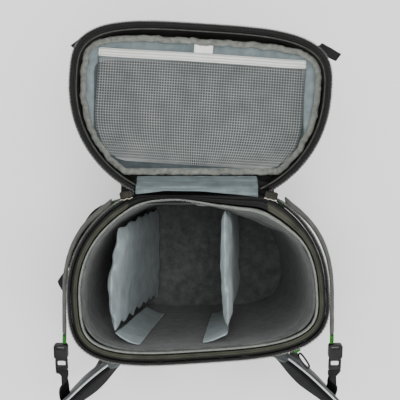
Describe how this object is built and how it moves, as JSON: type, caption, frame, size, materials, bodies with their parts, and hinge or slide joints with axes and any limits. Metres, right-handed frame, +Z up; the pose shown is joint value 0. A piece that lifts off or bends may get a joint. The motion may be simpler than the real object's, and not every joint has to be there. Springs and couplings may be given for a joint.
{
  "type": "camera backpack",
  "caption": "Compact top-opening camera backpack, D-shaped in plan, standing open with its lid thrown back: padded walls, two dividers, lid mesh pocket, padded carrying straps and side buckles.",
  "frame": {"origin": "middle of the flat base, on the ground", "axes": "+Z up out of the mouth, +Y away from the wearer's back towards the hinge and the open lid, +X to the right seen from the wearer's side, looking at the pack's back"},
  "size_m": [0.3544, 0.4437, 0.3448],
  "materials": {
    "shell": "dark woven nylon over foam",
    "collar": "satin woven nylon, padded",
    "zip": "coil zip on woven tape",
    "lining": "blue-grey brushed nylon, puckered",
    "dark_lining": "grey short pile",
    "binding": "grey edge binding with zigzag stitching",
    "net": "grey knitted mesh",
    "band": "off-white elastic band with stitched rows",
    "webbing": "black ribbed webbing",
    "grey_webbing": "grey ribbed webbing",
    "green": "green grosgrain",
    "air_mesh": "dark spacer mesh",
    "strap_pad": "slate nylon outside, dark spacer mesh towards the wearer",
    "buckle": "satin moulded nylon",
    "slider": "worn olive bronze"
  },
  "bodies": {
    "root": {"body_shell": "shell", "rim_band": "collar", "body_zip": "zip", "mouth_binding": "binding", "lining": "dark_lining", "back_panel": "air_mesh", "divider_left": "lining", "divider_right": "lining", "divider_flap_left": "lining", "divider_flap_right": "lining", "lid_shell": "shell", "lid_zip": "zip", "lid_lining": "lining", "lid_binding": "binding", "mesh_pocket": "net", "pocket_band": "band", "pocket_tab": "band", "hinge_panel": "lining", "slider_left": "slider", "slider_right": "slider", "lid_tab_left": "webbing", "lid_tab_right": "webbing", "side_pocket": "webbing", "side_point": "webbing", "side_tab": "webbing", "green_tab_right": "green", "side_strap_right": "grey_webbing", "strap_end_right": "green", "buckle_socket_right": "buckle", "buckle_plug_right": "buckle", "anchor_webbing_right": "webbing", "shoulder_strap_right": "strap_pad", "lower_webbing_right": "webbing", "green_tab_left": "green", "side_strap_left": "grey_webbing", "strap_end_left": "green", "buckle_socket_left": "buckle", "buckle_plug_left": "buckle", "anchor_webbing_left": "webbing", "shoulder_strap_left": "strap_pad", "lower_webbing_left": "webbing", "ring_tab": "green", "d_ring": "buckle"}
  },
  "joints": []
}
